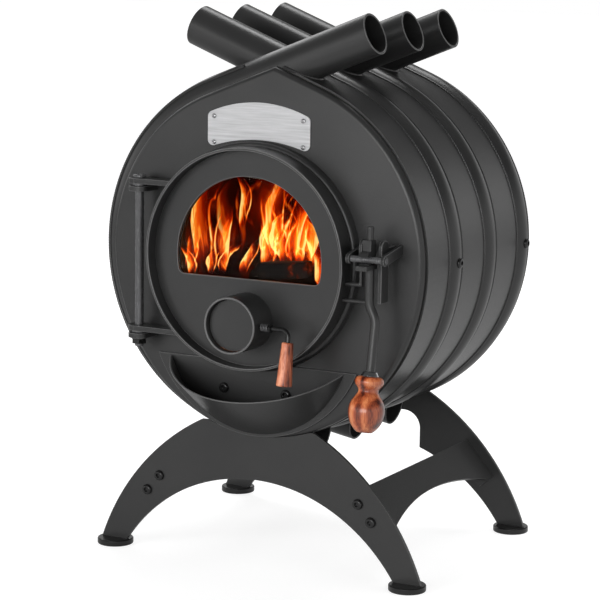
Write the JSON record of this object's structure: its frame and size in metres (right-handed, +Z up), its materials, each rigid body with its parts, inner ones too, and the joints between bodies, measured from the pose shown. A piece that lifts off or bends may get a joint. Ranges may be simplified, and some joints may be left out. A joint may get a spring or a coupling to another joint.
{
  "type": "hot-air tube wood stove",
  "caption": "Steel wood stove: a drum wrapped in crossing bent air tubes, a round glazed door with latch lever and air damper, an ember scoop and an arched bolted stand.",
  "frame": {"origin": "on the floor under the middle of the overall box", "axes": "+X to the right seen from the front, +Y to the back along the drum, +Z up"},
  "size_m": [0.5154, 0.5144, 0.7594],
  "materials": {
    "stove_paint": "matt heat-proof dark grey paint",
    "glass": "clear ceramic glass",
    "plate": "brushed",
    "turned_wood": "lacquered red-brown",
    "grip_wood": "lacquered",
    "rope": "braided glass fibre",
    "bright_steel": "polished",
    "rod_steel": "dull oiled steel",
    "black_bolts": "black oxide"
  },
  "bodies": {
    "stove": {"air_tube_1": "stove_paint", "air_tube_2": "stove_paint", "air_tube_3": "stove_paint", "air_tube_4": "stove_paint", "air_tube_5": "stove_paint", "air_tube_6": "stove_paint", "crest_bolts": "black_bolts", "door_collar": "stove_paint", "ember_scoop": "stove_paint", "flue_spigot": "stove_paint", "foot_front_left": "stove_paint", "foot_front_right": "stove_paint", "foot_rear_left": "stove_paint", "foot_rear_right": "stove_paint", "front_arch": "stove_paint", "front_pan": "stove_paint", "hearth_plate": "stove_paint", "hinge_ears": "stove_paint", "hinge_nut": "black_bolts", "hinge_rod": "rod_steel", "hinge_washers": "rod_steel", "latch_arms": "stove_paint", "latch_bracket": "stove_paint", "latch_pin": "rod_steel", "nameplate": "plate", "nameplate_rivets": "bright_steel", "rear_arch": "stove_paint", "rear_pan": "stove_paint", "scoop_back": "stove_paint", "scoop_bolts": "black_bolts", "shell_strip_1": "stove_paint", "shell_strip_2": "stove_paint", "shell_strip_3": "stove_paint", "shell_strip_4": "stove_paint", "shell_strip_5": "stove_paint", "shell_strip_6": "stove_paint", "smoke_baffle": "stove_paint", "stand_bolts_front": "black_bolts", "stand_bolts_rear": "black_bolts", "stretcher_left": "stove_paint", "stretcher_right": "stove_paint"},
    "door": {"door_ring": "stove_paint", "door_panel": "stove_paint", "glass_seal": "rope", "window_glass": "glass", "glass_retainer": "stove_paint", "retainer_screws": "black_bolts", "door_rope": "rope", "door_ears": "stove_paint", "door_catches": "stove_paint", "air_spigot": "stove_paint"},
    "air_damper": {"damper_flap": "stove_paint", "damper_shaft": "rod_steel", "damper_grip": "grip_wood", "damper_washer": "rod_steel", "damper_spring": "bright_steel"},
    "latch_lever": {"latch_hook": "stove_paint", "latch_bar": "stove_paint", "lever_ferrule": "bright_steel", "lever_knob": "turned_wood"}
  },
  "joints": [
    {"name": "door_swing", "type": "hinge", "parent": "stove", "child": "door", "pos_m": [-0.172, -0.197, 0.431], "axis": [0, 0, -1], "range_deg": [0, 110]},
    {"name": "damper_turn", "type": "hinge", "parent": "door", "child": "air_damper", "pos_m": [0, -0.234, 0.347], "axis": [-1, 0, 0], "range_deg": [0, 90]},
    {"name": "lever_lift", "type": "hinge", "parent": "stove", "child": "latch_lever", "pos_m": [0.1885, -0.223, 0.448], "axis": [-1, 0, 0], "range_deg": [0, 95]}
  ]
}
